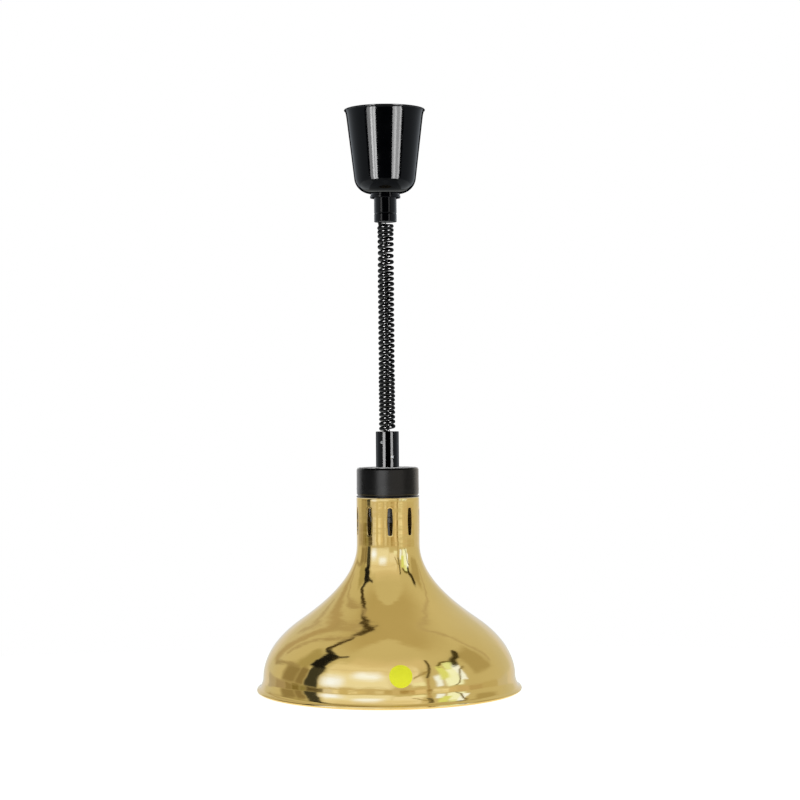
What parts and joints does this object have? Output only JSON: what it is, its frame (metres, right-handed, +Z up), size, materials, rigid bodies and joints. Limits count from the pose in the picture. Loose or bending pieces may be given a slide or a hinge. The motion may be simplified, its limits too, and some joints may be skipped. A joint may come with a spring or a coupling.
{
  "type": "hanging heat lamp",
  "caption": "Rise-and-fall food heat lamp on a curly cord: ceiling cup with spring balancer, black cap, vented neck, gold bell shade and infrared reflector bulb.",
  "frame": {"origin": "middle of the ceiling plate's upper face, which lies against the ceiling", "axes": "+Z up into the ceiling, along the lamp's hanging axis; -Y towards the front, where the sticker is; +X to the right seen from the front"},
  "size_m": [0.2898, 0.2898, 0.6361],
  "materials": {
    "gloss_black": "high-gloss black stove enamel",
    "satin_black": "satin black powder coat",
    "gold_shade": "mirror-polished, gold anodised",
    "zinc_steel": "zinc plated",
    "spring_steel": "blued and oiled",
    "brass": "turned, bright",
    "nylon": "moulded natural nylon",
    "cord_jacket": "smooth semi-gloss black cord jacket",
    "rubber": "matt moulded rubber",
    "porcelain": "dark brown glaze",
    "lead_sleeving": "braided glass-fibre sleeving",
    "sticker_film": "plain yellow, coated",
    "bulb_glass": "frosted inside, silvered towards the neck",
    "clear_glass": "clear",
    "tungsten": "drawn wire"
  },
  "bodies": {
    "root": {"ceiling_plate": "zinc_steel", "retractor_plate_front": "zinc_steel", "retractor_plate_back": "zinc_steel", "frame_spacer_upper": "zinc_steel", "frame_spacer_lower": "zinc_steel", "retractor_base": "zinc_steel", "mainspring": "spring_steel", "drum_axle": "zinc_steel", "axle_circlip_front": "spring_steel", "axle_circlip_back": "spring_steel", "hollow_spigot": "zinc_steel", "spigot_locknut": "zinc_steel", "ceiling_cup": "gloss_black", "cup_collar": "gloss_black", "terminal_block": "nylon", "terminal_screw_1": "zinc_steel", "terminal_screw_2": "zinc_steel", "cord_tail_upper": "cord_jacket", "steel_cable_upper": "zinc_steel", "frame_screw_1": "zinc_steel", "base_screw_1": "zinc_steel", "frame_screw_2": "zinc_steel", "base_screw_2": "zinc_steel", "frame_screw_3": "zinc_steel", "base_screw_3": "zinc_steel", "frame_screw_4": "zinc_steel", "base_screw_4": "zinc_steel"},
    "drum": {"cable_drum": "nylon", "drum_cover": "zinc_steel", "wound_cable": "zinc_steel"},
    "bush": {"exit_grommet": "rubber"},
    "cord": {"curly_cord": "cord_jacket", "steel_cable": "zinc_steel"},
    "cable_end": {"cable_ferrule": "brass", "swivel_washer": "brass"},
    "head": {"lower_sleeve": "gloss_black", "sleeve_plug": "brass", "cord_grub_screw": "zinc_steel", "plug_grub_screw": "zinc_steel", "cord_tail_lower": "cord_jacket", "hollow_nipple": "zinc_steel", "lamp_cap": "satin_black", "nipple_nut": "brass", "shade_screw_1": "zinc_steel", "shade_screw_2": "zinc_steel", "shade_screw_3": "zinc_steel", "shade": "gold_shade", "blank_sticker": "sticker_film", "lampholder": "porcelain", "holder_shell": "brass", "centre_contact": "brass", "lead_neutral": "lead_sleeving", "lead_live": "lead_sleeving"},
    "bulb": {"bulb_screw_cap": "brass", "bulb_envelope": "bulb_glass", "bulb_stem": "clear_glass", "filament": "tungsten"}
  },
  "joints": [
    {"name": "swing_sideways", "type": "hinge", "parent": "root", "child": "bush", "pos_m": [0, 0, -0.1193], "axis": [0, 1, 0], "range_deg": [-8, 8]},
    {"name": "swing_fore_aft", "type": "hinge", "parent": "bush", "child": "cord", "pos_m": [0, 0, -0.1193], "axis": [1, 0, 0], "range_deg": [-8, 8]},
    {"name": "head_height", "type": "slide", "parent": "cord", "child": "cable_end", "axis": [0, 0, -1], "range_m": [-0.036, 1.164], "deforming": ["curly_cord", "steel_cable"]},
    {"name": "head_turn", "type": "hinge", "parent": "cable_end", "child": "head", "pos_m": [0, 0, -0.36], "axis": [0, 0, 1], "range_deg": [-180, 180]},
    {"name": "bulb_turn", "type": "hinge", "parent": "head", "child": "bulb", "pos_m": [0, 0, -0.43], "axis": [0, 0, 1], "range_deg": [0, 2160]},
    {"name": "drum_spin", "type": "hinge", "parent": "root", "child": "drum", "pos_m": [0.016, 0, -0.027], "axis": [0, -1, 0], "range_deg": [-130, 4170]}
  ],
  "couplings": [
    {"joint": "drum_spin", "follows": "head_height", "rad_per_m": 62.5}
  ]
}
